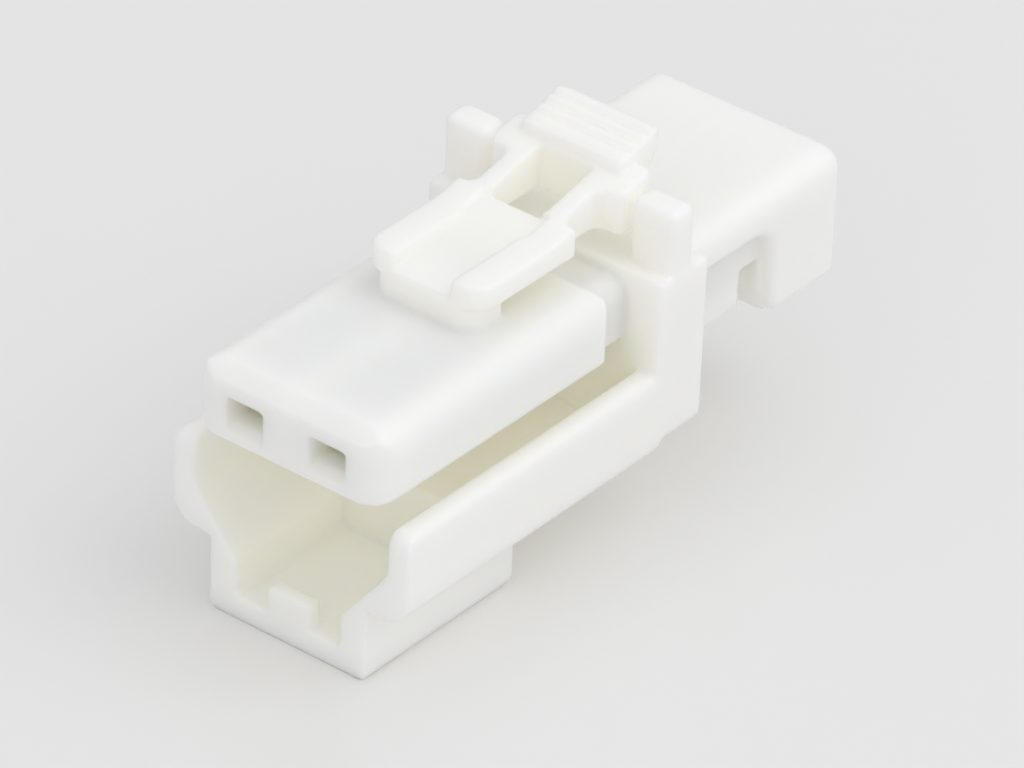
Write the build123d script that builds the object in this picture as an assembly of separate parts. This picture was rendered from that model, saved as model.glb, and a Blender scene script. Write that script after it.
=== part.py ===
"""Housing of a two-way wire to board connector, moulded in one piece.

Millimetres. X runs across the contacts, Y from the mating end to the wire end, Z up.
The origin lies on the surface the housing rests on, below the middle of its length.
"""
from build123d import *
import os

# Contacts: how many, how far apart, and the openings that the header pins enter
ways = 2
pitch = 2.5
pin_hole_width = 1.1
pin_hole_height = 0.75
pin_hole_rise = 0.45
lead_in_drop = 0.22
lead_in_depth = 0.35

# Nose: the flat tongue that enters the header
end_margin = 1.65
nose_height = 1.95
nose_reach = 9.6
nose_top_radius = 0.75
nose_bottom_radius = 0.25
nose_corner_radius = 0.9
nose_bevel_height = 0.35
nose_bevel_depth = 0.53
nose_rear_radius = 0.35
neck_length = 1.0
neck_inset = 0.4
neck_top_inset = 0.15

# Hood: the open trough under the nose that guides the header wall
wall = 0.65
hood_side_gap = 0.05
hood_setback = 0.25
hood_side_height = 2.55
nose_gap = 0.55
hood_corner_radius = 0.75
hood_slope_height = 0.6
hood_slope_radius = 0.8
hood_lip_radius = 0.25
hood_front_radius = 0.45

# Keel: the narrow channel below the hood, with its key and the rail behind it
keel_width = 4.8
keel_depth = 2.0
keel_length = 5.65
keel_wall = 0.8
keel_end_wall = 1.6
keel_edge_radius = 0.2
channel_height = 0.9
key_width = 1.3
key_height = 0.7
key_length = 0.5
rail_width = 2.2
rail_margin = 0.4

# Collar: the stop that meets the header, with a guard on each side of the latch
collar_length = 1.85
collar_step = 0.08
collar_rise = 0.4
collar_corner_radius = 0.45
guard_width = 1.35
guard_length = 0.9
guard_height = 1.7
guard_setback = 0.4
guard_edge_radius = 0.25
collar_edge_radius = 0.15

# Latch: the arm that springs up from the nose and reaches back to its thumb pad
latch_width = 3.6
latch_thickness = 0.65
latch_gap = 0.65
latch_setback = 4.9
latch_side_gap = 0.15
latch_corner_radius = 0.6
latch_edge_radius = 0.12
root_width = 3.1
root_length = 1.2
frame_length = 3.6
trough_width = 1.75
trough_depth = 0.45
trough_step = 0.1
trough_step_length = 2.65
rise_setback = 2.75
rise_height = 0.76
rise_radius = 2.0
spring_width = 2.7
spring_length = 1.37
spring_radius = 0.3
spring_front_radius = 0.3
window_width = 1.6
window_ledge = 0.1
base_width = 4.1
base_length = 1.23
base_radius = 0.25
pad_setback = 0.58
pad_width = 3.1
pad_length = 1.55
pad_front_height = 0.9
pad_rise = 0.4
pad_slope_length = 1.3
pad_tip_height = 0.55
pad_edge_radius = 0.15
pad_grooves = 3
pad_groove_pitch = 0.32
pad_groove_depth = 0.09

# Rear body: the wire end behind the collar, with its waist, side slots and foot
rear_length = 6.05
rear_drop = 1.6
rear_flare = 0.1
rear_top_radius = 0.6
rear_corner_radius = 0.2
waist_length = 3.55
waist_inset = 0.45
waist_shoulder = 1.05
waist_radius = 0.9
waist_edge_radius = 0.25
waist_lift = 0.45
slot_length = 0.75
slot_height = 1.0
slot_setback = 0.1
foot_width = 3.6
foot_length = 1.25
foot_drop = 1.15
foot_radius = 0.3

# Contact cavities: one behind each pin opening, out to the wire end
front_wall = 0.9
nose_floor = 0.35
nose_cavity_width = 1.6
nose_cavity_height = 1.15
cavity_width = 1.9
cavity_height = 1.7
cavity_drop = 0.4
mouth_width = 2.05
mouth_height = 2.3
mouth_length = 2.3
lance_width = 1.0
lance_length = 1.7
lance_thickness = 0.45
lance_gap = 0.25
lance_height = 0.35

# Places worked out from the sizes above
overall_length = nose_reach + collar_length + rear_length
mating_y = -overall_length / 2
hood_y = mating_y + hood_setback
collar_y = mating_y + nose_reach
collar_end_y = collar_y + collar_length
rear_y = collar_end_y + rear_length
keel_end_y = hood_y + keel_length
waist_end_y = collar_end_y + waist_length
guard_y = collar_y + guard_setback
latch_y = mating_y + latch_setback
frame_end_y = latch_y + frame_length
base_y = frame_end_y + spring_length
latch_end_y = base_y + base_length
pad_y = base_y + pad_setback
rise_y = latch_y + rise_setback

nose_half = (ways - 1) * pitch / 2 + end_margin
hood_inner_half = nose_half + hood_side_gap
hood_half = hood_inner_half + wall
rear_half = nose_half + rear_flare
guard_inner_half = base_width / 2 + latch_side_gap

hood_z = keel_depth
hood_floor_z = hood_z + wall
hood_top_z = hood_z + hood_side_height
nose_z = hood_top_z + nose_gap
nose_top_z = nose_z + nose_height
collar_z = hood_z + collar_rise
collar_top_z = nose_top_z + collar_step
rear_z = nose_z - rear_drop
waist_z = rear_z + waist_lift
cavity_z = nose_z - cavity_drop
latch_z = nose_top_z + latch_gap
latch_top_z = latch_z + latch_thickness
base_top_z = latch_top_z + rise_height

contact_xs = [(i - (ways - 1) / 2) * pitch for i in range(ways)]
overlap = 0.3
same_place = 1e-5


def block(x0, x1, y0, y1, z0, z1):
    """Box between two corners."""
    size = (x1 - x0, y1 - y0, z1 - z0)
    return Pos(x0, y0, z0) * Box(*size, align=(Align.MIN, Align.MIN, Align.MIN))


def face(x0, x1, y0, y1):
    """Flat rectangle between two corners, in the plane of a sketch."""
    return Pos((x0 + x1) / 2, (y0 + y1) / 2) * Rectangle(x1 - x0, y1 - y0)


def rounded(sketch, corners, radius):
    """Sketch with the corners that lie at the given places rounded."""
    picked = [
        vertex
        for vertex in sketch.vertices()
        if any(abs(vertex.X - u) + abs(vertex.Y - v) < same_place for u, v in corners)
    ]
    return fillet(picked, radius)


def along_y(section, y0, y1):
    """Solid of a section seen from the mating end, from y0 back to y1."""
    return extrude(Plane.XZ.offset(-y0) * section, -(y1 - y0))


def across_x(section, x0, x1):
    """Solid of a section seen from the side, from x0 to x1."""
    return extrude(Plane.YZ.offset(x0) * section, x1 - x0)


def along_z(section, z0, z1):
    """Solid of a section seen from above, from z0 up to z1."""
    return extrude(Plane.XY.offset(z0) * section, z1 - z0)


def body_section(half, bottom_z, top_z, bottom_radius, top_radius):
    """Section of the nose and of what continues it: wide radii above, small ones below."""
    section = face(-half, half, bottom_z, top_z)
    section = rounded(section, [(-half, top_z), (half, top_z)], top_radius)
    return rounded(section, [(-half, bottom_z), (half, bottom_z)], bottom_radius)


def nose():
    """Tongue with a bevelled front edge, rounded front corners and a waisted neck."""
    neck_y = collar_y - neck_length
    tongue = along_y(
        body_section(nose_half, nose_z, nose_top_z, nose_bottom_radius, nose_top_radius),
        mating_y,
        neck_y,
    )
    plan = face(-nose_half, nose_half, mating_y, neck_y)
    plan = rounded(plan, [(-nose_half, mating_y), (nose_half, mating_y)], nose_corner_radius)
    plan = rounded(plan, [(-nose_half, neck_y), (nose_half, neck_y)], nose_rear_radius)
    side = Polygon(
        (mating_y, nose_z),
        (neck_y, nose_z),
        (neck_y, nose_top_z),
        (mating_y + nose_bevel_depth, nose_top_z),
        (mating_y, nose_top_z - nose_bevel_height),
        align=None,
    )
    side = rounded(side, [(neck_y, nose_top_z)], nose_rear_radius)
    tongue = tongue & along_z(plan, nose_z, nose_top_z) & across_x(side, -nose_half, nose_half)
    neck = along_y(
        body_section(
            nose_half - neck_inset,
            nose_z,
            nose_top_z - neck_top_inset,
            nose_bottom_radius,
            nose_top_radius - neck_inset / 2,
        ),
        neck_y - nose_rear_radius - overlap,
        collar_y + overlap,
    )
    return tongue + neck


def slope_half(z):
    """Half width inside the hood and keel at a height on the slope between their walls."""
    top_z = hood_floor_z + hood_slope_height
    foot_z = wall + channel_height
    foot_half = keel_width / 2 - keel_wall
    return foot_half + (hood_inner_half - foot_half) * (z - foot_z) / (top_z - foot_z)


def hood_inside():
    """Section of the hood's hollow: upright sides that slope in to a flat floor."""
    top_z = hood_floor_z + hood_slope_height
    floor_half = slope_half(hood_floor_z)
    section = Polygon(
        (-floor_half, hood_floor_z),
        (floor_half, hood_floor_z),
        (hood_inner_half, top_z),
        (hood_inner_half, hood_top_z + wall),
        (-hood_inner_half, hood_top_z + wall),
        (-hood_inner_half, top_z),
        align=None,
    )
    corners = [(-hood_inner_half, top_z), (hood_inner_half, top_z)]
    return rounded(section, corners, hood_slope_radius)


def hood():
    """Trough of a floor and two sides, its lips and front corners rounded."""
    outside = face(-hood_half, hood_half, hood_z, hood_top_z)
    outside = rounded(outside, [(-hood_half, hood_z), (hood_half, hood_z)], hood_corner_radius)
    section = outside - hood_inside()
    outer_lips = [(-hood_half, hood_top_z), (hood_half, hood_top_z)]
    inner_lips = [(-hood_inner_half, hood_top_z), (hood_inner_half, hood_top_z)]
    section = rounded(section, outer_lips, hood_lip_radius)
    section = rounded(section, inner_lips, hood_lip_radius / 2)
    side = face(hood_y, collar_y + overlap, hood_z, hood_top_z)
    side = rounded(side, [(hood_y, hood_top_z)], hood_front_radius)
    trough = along_y(section, hood_y, collar_y + overlap)
    return trough & across_x(side, -hood_half, hood_half)


def keel():
    """Channel under the hood, and the narrower rail that goes on behind it."""
    half = keel_width / 2
    shell = along_y(face(-half, half, 0, hood_floor_z), hood_y, keel_end_y)
    rims = [
        edge
        for edge in shell.edges()
        if edge.center().Z < hood_z and abs(edge.center().Y - hood_y) > same_place
    ]
    shell = fillet(rims, keel_edge_radius)
    rail_end_y = collar_end_y - rail_margin
    rail_half = rail_width / 2
    rail = block(-rail_half, rail_half, keel_end_y - overlap, rail_end_y, 0, collar_z + overlap)
    rims = [edge for edge in rail.edges() if edge.center().Z < hood_z]
    return shell + fillet(rims, keel_edge_radius)


def keel_channel():
    """What the channel takes out of the keel and the hood's floor, the slopes carried down."""
    half = keel_width / 2 - keel_wall
    foot_z = wall + channel_height
    over_half = slope_half(hood_floor_z)
    section = Polygon(
        (-half, wall),
        (half, wall),
        (half, foot_z),
        (over_half, hood_floor_z),
        (-over_half, hood_floor_z),
        (-half, foot_z),
        align=None,
    )
    section = rounded(section, [(-half, wall), (half, wall)], keel_edge_radius)
    return along_y(section, hood_y - overlap, keel_end_y - keel_end_wall)


def key():
    """Stub on the channel's floor that keeps the plug from going in the wrong way."""
    half = key_width / 2
    stub = block(-half, half, hood_y, hood_y + key_length, wall / 2, wall + key_height)
    top = stub.edges().group_by(Axis.Z)[-1]
    return fillet(top, keel_edge_radius / 2)


def collar():
    """Stop behind the nose, cored out below the cavities, and its two latch guards."""
    ring = block(-hood_half, hood_half, collar_y, collar_end_y, collar_z, collar_top_z)
    ring = fillet(ring.edges().filter_by(Axis.Y).group_by(Axis.Z)[0], collar_corner_radius)
    rear = ring.faces().sort_by(Axis.Y)[-1].edges()
    shoulders = ring.edges().filter_by(Axis.Y).group_by(Axis.Z)[-1]
    ring = fillet(rear + shoulders, collar_edge_radius)
    core = block(
        -hood_inner_half,
        hood_inner_half,
        collar_y + wall,
        collar_end_y + overlap,
        collar_z + wall,
        waist_z - overlap / 2,
    )
    ring -= fillet(core.edges().filter_by(Axis.Y), collar_edge_radius)
    guard = block(
        guard_inner_half,
        guard_inner_half + guard_width,
        guard_y,
        guard_y + guard_length,
        collar_top_z - overlap,
        collar_top_z + guard_height,
    )
    rims = [edge for edge in guard.edges() if edge.center().Z > collar_top_z]
    guard = fillet(rims, guard_edge_radius)
    return ring + guard + mirror(guard, Plane.YZ)


def rear_body():
    """Block behind the collar with a set-in, lifted waist on each side and a low foot."""
    section = body_section(rear_half, rear_z, nose_top_z, nose_bottom_radius, rear_top_radius)
    solid = along_y(section, collar_end_y - overlap, rear_y)
    plan = face(-rear_half, rear_half, collar_end_y - overlap, rear_y)
    plan = rounded(plan, [(-rear_half, rear_y), (rear_half, rear_y)], rear_corner_radius)
    solid = solid & along_z(plan, rear_z, nose_top_z)
    shoulder_z = nose_top_z - waist_shoulder
    waist = face(collar_end_y - 2 * overlap, waist_end_y, rear_z - overlap, shoulder_z)
    waist = rounded(waist, [(waist_end_y, shoulder_z)], waist_radius)
    for side in (-1, 1):
        inner = side * (rear_half - waist_inset)
        outer = side * (rear_half + overlap)
        solid -= across_x(waist, min(inner, outer), max(inner, outer))
    rims = [
        edge
        for edge in solid.edges()
        if abs(abs(edge.center().X) - rear_half) < same_place
        and edge.center().Y < waist_end_y + same_place
        and edge.center().Z < shoulder_z + same_place
    ]
    solid = fillet(rims, waist_edge_radius)
    solid -= block(
        -hood_half, hood_half, collar_end_y - 2 * overlap, waist_end_y, rear_z - overlap, waist_z
    )
    foot = block(
        -foot_width / 2, foot_width / 2, rear_y - foot_length, rear_y, rear_z - foot_drop, cavity_z
    )
    rims = [edge for edge in foot.edges() if edge.center().Z < rear_z]
    return solid + fillet(rims, foot_radius)


def latch_root():
    """Riser at the front of the latch that joins it to the nose."""
    half = root_width / 2
    plan = face(-half, half, latch_y, latch_y + root_length)
    plan = rounded(plan, [(-half, latch_y), (half, latch_y)], latch_corner_radius)
    return along_z(plan, nose_top_z - overlap, latch_z + overlap / 2)


def trough(half, y0, y1):
    """What a stretch of the trough takes out of the frame: it is open at the front."""
    front_z = latch_top_z - trough_depth
    side = Polygon(
        (latch_y - overlap, front_z),
        (latch_y, front_z),
        (frame_end_y, latch_top_z),
        (frame_end_y, base_top_z),
        (latch_y - overlap, base_top_z),
        align=None,
    )
    return across_x(side, -half, half) & block(-half, half, y0, y1, front_z, base_top_z)


def latch_arm():
    """Arm of a railed frame, a rising springing part with the catch window, and the pad's base."""
    half = latch_width / 2
    spring_half = spring_width / 2
    base_half = base_width / 2
    plan = face(-half, half, latch_y, frame_end_y)
    plan += face(-spring_half, spring_half, latch_y, latch_end_y)
    plan += face(-base_half, base_half, base_y, latch_end_y)
    plan = rounded(plan, [(-half, latch_y), (half, latch_y)], latch_corner_radius)
    front_corners = [(side * spring_half, frame_end_y) for side in (-1, 1)]
    plan = rounded(plan, front_corners, spring_front_radius)
    rear_corners = [(side * spring_half, base_y) for side in (-1, 1)]
    plan = rounded(plan, rear_corners, spring_radius)
    base_corners = [(side * base_half, y) for side in (-1, 1) for y in (base_y, latch_end_y)]
    plan = rounded(plan, base_corners, base_radius)
    side = Polygon(
        (latch_y, latch_z),
        (latch_end_y, latch_z),
        (latch_end_y, base_top_z),
        (rise_y, latch_top_z),
        (latch_y, latch_top_z),
        align=None,
    )
    side = rounded(side, [(rise_y, latch_top_z)], rise_radius)
    arm = along_z(plan, latch_z, base_top_z) & across_x(side, -base_half, base_half)
    top_edges = [edge for top in arm.faces() if top.normal_at().Z > 0.5 for edge in top.edges()]
    seams = arm.edges().filter_by(Axis.X).filter_by(
        lambda edge: abs(edge.center().X) < same_place
        and latch_y + overlap < edge.center().Y < latch_end_y - overlap
        and edge.center().Z > latch_z + same_place
    )
    arm = fillet([edge for edge in top_edges if edge not in seams], latch_edge_radius)
    step_y = latch_y + trough_step_length
    arm -= trough(trough_width / 2, latch_y - overlap, step_y)
    arm -= trough(trough_width / 2 + trough_step, step_y, frame_end_y)
    window_half = window_width / 2
    window = block(
        -window_half,
        window_half,
        frame_end_y,
        pad_y - window_ledge,
        latch_z - overlap,
        base_top_z + overlap,
    )
    return arm - fillet(window.edges().filter_by(Axis.Z), latch_edge_radius)


def thumb_pad():
    """Raised end of the latch that leans out to the rear, its sloping top grooved across."""
    half = pad_width / 2
    front_z = latch_top_z + pad_front_height
    tip_y = pad_y + pad_length
    peak_y = pad_y + pad_slope_length
    peak_z = front_z + pad_rise
    side = Polygon(
        (pad_y, latch_z),
        (latch_end_y, latch_z),
        (tip_y, peak_z - pad_tip_height),
        (tip_y, peak_z),
        (peak_y, peak_z),
        (pad_y, front_z),
        align=None,
    )
    pad = across_x(side, -half, half)
    rims = [edge for edge in pad.edges() if edge.center().Z > latch_top_z]
    pad = fillet(rims, pad_edge_radius)
    for i in range(pad_grooves):
        y = peak_y - (i + 0.5) * pad_groove_pitch
        z = peak_z - (peak_y - y) * pad_rise / pad_slope_length
        cutter = Pos(0, y, z) * Rot(0, 90, 0) * Cylinder(pad_groove_depth, pad_width + overlap)
        pad -= cutter
    return pad


def pin_opening(x):
    """Opening in the nose's front wall for one pin, with a sloped lead-in below it."""
    z = nose_z + pin_hole_rise
    hole = block(
        x - pin_hole_width / 2,
        x + pin_hole_width / 2,
        mating_y - overlap,
        mating_y + front_wall + overlap,
        z,
        z + pin_hole_height,
    )
    slope = Polygon(
        (mating_y, z - lead_in_drop),
        (mating_y + lead_in_depth, z),
        (mating_y + lead_in_depth, z + lead_in_drop),
        (mating_y - overlap, z + lead_in_drop),
        (mating_y - overlap, z - lead_in_drop),
        align=None,
    )
    return hole + across_x(slope, x - pin_hole_width / 2, x + pin_hole_width / 2)


def cavity(x):
    """Stepped passage for one crimped contact, from the nose's front wall to the wire end."""
    step_y = collar_y + wall
    mouth_y = rear_y - mouth_length
    in_nose = block(
        x - nose_cavity_width / 2,
        x + nose_cavity_width / 2,
        mating_y + front_wall,
        step_y + overlap,
        nose_z + nose_floor,
        nose_z + nose_floor + nose_cavity_height,
    )
    in_rear = block(
        x - cavity_width / 2,
        x + cavity_width / 2,
        step_y,
        mouth_y + overlap,
        cavity_z,
        cavity_z + cavity_height,
    )
    mouth_top_z = cavity_z + cavity_height
    mouth = block(
        x - mouth_width / 2,
        x + mouth_width / 2,
        mouth_y,
        rear_y + overlap,
        mouth_top_z - mouth_height,
        mouth_top_z,
    )
    return in_nose + in_rear + mouth


def lance_cut(x):
    """Slot round and below the springing tongue under one contact."""
    half = lance_width / 2
    y0 = collar_end_y + lance_gap
    outline = block(
        x - half - lance_gap,
        x + half + lance_gap,
        y0,
        y0 + lance_gap + lance_length,
        waist_z - overlap,
        cavity_z + overlap,
    )
    tongue = block(
        x - half,
        x + half,
        y0 + lance_gap,
        y0 + lance_gap + lance_length,
        cavity_z - lance_thickness,
        cavity_z + overlap,
    )
    return outline - tongue


def lance_ramp(x):
    """Ramp on the tongue that snaps behind the contact and holds it."""
    tip_y = collar_end_y + 2 * lance_gap
    side = Polygon(
        (tip_y, cavity_z - lance_gap),
        (tip_y, cavity_z + lance_height),
        (tip_y + lance_gap, cavity_z + lance_height),
        (tip_y + lance_length, cavity_z),
        (tip_y + lance_length, cavity_z - lance_gap),
        align=None,
    )
    return across_x(side, x - lance_width / 2, x + lance_width / 2)


def side_slots():
    """Slot through each side of the waist, open below, just ahead of the rear block."""
    y1 = waist_end_y - slot_setback
    cuts = []
    for side in (-1, 1):
        inner = side * (max(contact_xs) + cavity_width / 2 - overlap)
        outer = side * (rear_half + overlap)
        cuts.append(
            block(
                min(inner, outer),
                max(inner, outer),
                y1 - slot_length,
                y1,
                waist_z - overlap,
                waist_z + slot_height,
            )
        )
    return cuts


def housing():
    """The whole moulding."""
    solid = nose() + collar() + rear_body() + hood() + keel()
    solid -= keel_channel()
    solid += key()
    solid += latch_root() + latch_arm() + thumb_pad()
    for x in contact_xs:
        solid -= pin_opening(x)
        solid -= cavity(x)
        solid -= lance_cut(x)
        solid += lance_ramp(x)
    for slot in side_slots():
        solid -= slot
    return solid


os.makedirs("parts", exist_ok=True)
export_step(housing(), "parts/housing.step")
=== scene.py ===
import bpy
import math
from mathutils import Matrix, Vector


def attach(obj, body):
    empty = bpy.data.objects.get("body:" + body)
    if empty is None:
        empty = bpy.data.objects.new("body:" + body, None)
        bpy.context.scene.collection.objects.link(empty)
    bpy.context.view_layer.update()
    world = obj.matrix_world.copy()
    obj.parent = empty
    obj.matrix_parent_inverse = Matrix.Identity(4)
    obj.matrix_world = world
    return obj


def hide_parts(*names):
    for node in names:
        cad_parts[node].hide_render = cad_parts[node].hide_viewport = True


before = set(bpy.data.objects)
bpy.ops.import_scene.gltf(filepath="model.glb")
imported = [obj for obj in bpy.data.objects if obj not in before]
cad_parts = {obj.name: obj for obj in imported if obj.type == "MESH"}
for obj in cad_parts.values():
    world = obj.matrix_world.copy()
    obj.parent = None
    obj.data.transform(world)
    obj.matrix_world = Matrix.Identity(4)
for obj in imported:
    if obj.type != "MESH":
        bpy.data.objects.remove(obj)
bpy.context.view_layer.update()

# The housing: one moulding in natural nylon. Its tool leaves a fine rounding on every edge.
# Nose, hood, keel, collar, latch and wire end are all one piece, so nothing is fastened to it.
weld_distance = 0.000002
skin_cell = 0.00006
edge_softening = 5
edge_softening_factor = 0.5
triangle_budget = 180000


def deselect_all():
    """Clears the selection, so that an operator acts only on what is picked next."""
    for thing in bpy.context.selected_objects:
        thing.select_set(False)


def pick(thing):
    """Makes one object the only selected and active one."""
    deselect_all()
    thing.select_set(True)
    bpy.context.view_layer.objects.active = thing


def apply_modifiers(thing):
    """Applies every modifier in order."""
    pick(thing)
    for modifier in list(thing.modifiers):
        bpy.ops.object.modifier_apply(modifier=modifier.name)


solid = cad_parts["housing"]
pick(solid)
bpy.ops.object.duplicate()
moulding = bpy.context.view_layer.objects.active
moulding.name = "housing_moulding"
for key in list(moulding.keys()):
    if key.startswith("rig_"):
        del moulding[key]
moulding.parent = None
bpy.ops.object.mode_set(mode="EDIT")
bpy.ops.mesh.select_all(action="SELECT")
bpy.ops.mesh.remove_doubles(threshold=weld_distance)
bpy.ops.mesh.customdata_custom_splitnormals_clear()
bpy.ops.object.mode_set(mode="OBJECT")

skin = moulding.modifiers.new("skin", "REMESH")
skin.mode = "VOXEL"
skin.voxel_size = skin_cell
apply_modifiers(moulding)
softened = moulding.modifiers.new("softened_edges", "SMOOTH")
softened.factor = edge_softening_factor
softened.iterations = edge_softening
thinned = moulding.modifiers.new("thinned", "DECIMATE")
thinned.ratio = triangle_budget / (2 * len(moulding.data.polygons))
apply_modifiers(moulding)
bpy.ops.object.shade_smooth()

nylon_shade = (0.985, 0.973, 0.895, 1)
nylon_light = (0.99, 0.98, 0.91, 1)
nylon_roughness = (0.28, 0.42)
nylon_ior = 1.53
cloud_scale = 260
cloud_detail = 3
grain_scale = 9000
grain_detail = 2
grain_strength = 0.06
grain_height = 0.00002
scatter_weight = 1.0
scatter_radius = (1.0, 0.93, 0.82)
scatter_depth = 0.0009


def nylon():
    """Natural nylon: milky white, lets a little light through, satin with a fine tool texture."""
    material = bpy.data.materials.new("natural_nylon")
    material.use_nodes = True
    nodes = material.node_tree.nodes
    links = material.node_tree.links
    shader = nodes["Principled BSDF"]
    place = nodes.new("ShaderNodeTexCoord")
    cloud = nodes.new("ShaderNodeTexNoise")
    cloud.inputs["Scale"].default_value = cloud_scale
    cloud.inputs["Detail"].default_value = cloud_detail
    links.new(place.outputs["Object"], cloud.inputs["Vector"])
    tint = nodes.new("ShaderNodeMix")
    tint.data_type = "RGBA"
    tint.inputs["A"].default_value = nylon_shade
    tint.inputs["B"].default_value = nylon_light
    links.new(cloud.outputs["Fac"], tint.inputs["Factor"])
    links.new(tint.outputs["Result"], shader.inputs["Base Color"])
    grain = nodes.new("ShaderNodeTexNoise")
    grain.inputs["Scale"].default_value = grain_scale
    grain.inputs["Detail"].default_value = grain_detail
    links.new(place.outputs["Object"], grain.inputs["Vector"])
    sheen = nodes.new("ShaderNodeMapRange")
    sheen.inputs["To Min"].default_value = nylon_roughness[0]
    sheen.inputs["To Max"].default_value = nylon_roughness[1]
    links.new(cloud.outputs["Fac"], sheen.inputs["Value"])
    links.new(sheen.outputs["Result"], shader.inputs["Roughness"])
    bump = nodes.new("ShaderNodeBump")
    bump.inputs["Strength"].default_value = grain_strength
    bump.inputs["Distance"].default_value = grain_height
    links.new(grain.outputs["Fac"], bump.inputs["Height"])
    links.new(bump.outputs["Normal"], shader.inputs["Normal"])
    shader.inputs["IOR"].default_value = nylon_ior
    shader.inputs["Subsurface Weight"].default_value = scatter_weight
    shader.inputs["Subsurface Radius"].default_value = scatter_radius
    shader.inputs["Subsurface Scale"].default_value = scatter_depth
    return material


moulding.data.materials.clear()
moulding.data.materials.append(nylon())
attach(moulding, "root")
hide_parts("housing")

# The table: a pale sheet with a soft gloss that carries the shadow and a faint mirror image.
sheet_size = 2.4
sheet_colour = (0.83, 0.83, 0.84, 1)
sheet_roughness = 0.22
sheet_gloss = 0.35
bpy.ops.mesh.primitive_plane_add(size=sheet_size)
table = bpy.context.object
table.name = "table"
paper = bpy.data.materials.new("pale_sheet")
paper.use_nodes = True
paper_shader = paper.node_tree.nodes["Principled BSDF"]
paper_shader.inputs["Base Color"].default_value = sheet_colour
paper_shader.inputs["Roughness"].default_value = sheet_roughness
paper_shader.inputs["Specular IOR Level"].default_value = sheet_gloss
table.data.materials.append(paper)

# The light: a wide soft surround, brightest overhead and a little to the right, with two large
# soft lamps. Milky plastic hands light on many times between its walls, so the paths are long.
surround_colour = (1.0, 1.0, 1.0, 1)
surround_strength = 0.62
surround_lean = (0.10, -0.02, 0.46)
light_bounces = 20
world = bpy.data.worlds.new("surround")
world.use_nodes = True
surround_nodes = world.node_tree.nodes
surround_links = world.node_tree.links
surround = surround_nodes["Background"]
surround.inputs["Color"].default_value = surround_colour
facing = surround_nodes.new("ShaderNodeTexCoord")
lean = surround_nodes.new("ShaderNodeVectorMath")
lean.operation = "DOT_PRODUCT"
lean.inputs[1].default_value = surround_lean
surround_links.new(facing.outputs["Generated"], lean.inputs[0])
level = surround_nodes.new("ShaderNodeMath")
level.operation = "MULTIPLY_ADD"
level.inputs[1].default_value = surround_strength
level.inputs[2].default_value = surround_strength
surround_links.new(lean.outputs["Value"], level.inputs[0])
surround_links.new(level.outputs["Value"], surround.inputs["Strength"])
bpy.context.scene.world = world
bpy.context.scene.cycles.max_bounces = light_bounces
bpy.context.scene.cycles.diffuse_bounces = light_bounces

lamp_size = 0.30
lamp_aim = Vector((0, 0, 0.004))
key_place = Vector((0.25, 0.10, 0.32))
key_power = 0.31
fill_place = Vector((0.12, -0.35, 0.15))
fill_power = 0.10


def lamp(name, place, power):
    """A square soft lamp at a place, facing the housing."""
    data = bpy.data.lights.new(name, "AREA")
    data.size = lamp_size
    data.energy = power
    thing = bpy.data.objects.new(name, data)
    thing.location = place
    thing.rotation_mode = "QUATERNION"
    thing.rotation_quaternion = (lamp_aim - place).to_track_quat("-Z", "Y")
    bpy.context.scene.collection.objects.link(thing)


lamp("key", key_place, key_power)
lamp("fill", fill_place, fill_power)

# The camera: a long lens, looking down over the right front corner.
camera_azimuth = math.radians(37.4555)
camera_elevation = math.radians(33.1523)
camera_roll = math.radians(-2.4537)
camera_place = (0.0982168, -0.1283676, 0.1087747)
camera_lens = 281.80
camera_sensor_width = 36
camera_near = 0.01
camera_far = 10
back = Vector((
    math.sin(camera_azimuth) * math.cos(camera_elevation),
    -math.cos(camera_azimuth) * math.cos(camera_elevation),
    math.sin(camera_elevation),
))
camera_data = bpy.data.cameras.new("camera")
camera_data.lens = camera_lens
camera_data.sensor_width = camera_sensor_width
camera_data.clip_start = camera_near
camera_data.clip_end = camera_far
camera = bpy.data.objects.new("camera", camera_data)
aim = (-back).to_track_quat("-Z", "Y").to_matrix().to_4x4()
roll = Matrix.Rotation(-camera_roll, 4, "Z")
camera.matrix_world = Matrix.Translation(camera_place) @ aim @ roll
bpy.context.scene.collection.objects.link(camera)
bpy.context.scene.camera = camera
bpy.context.scene.view_settings.view_transform = "Standard"
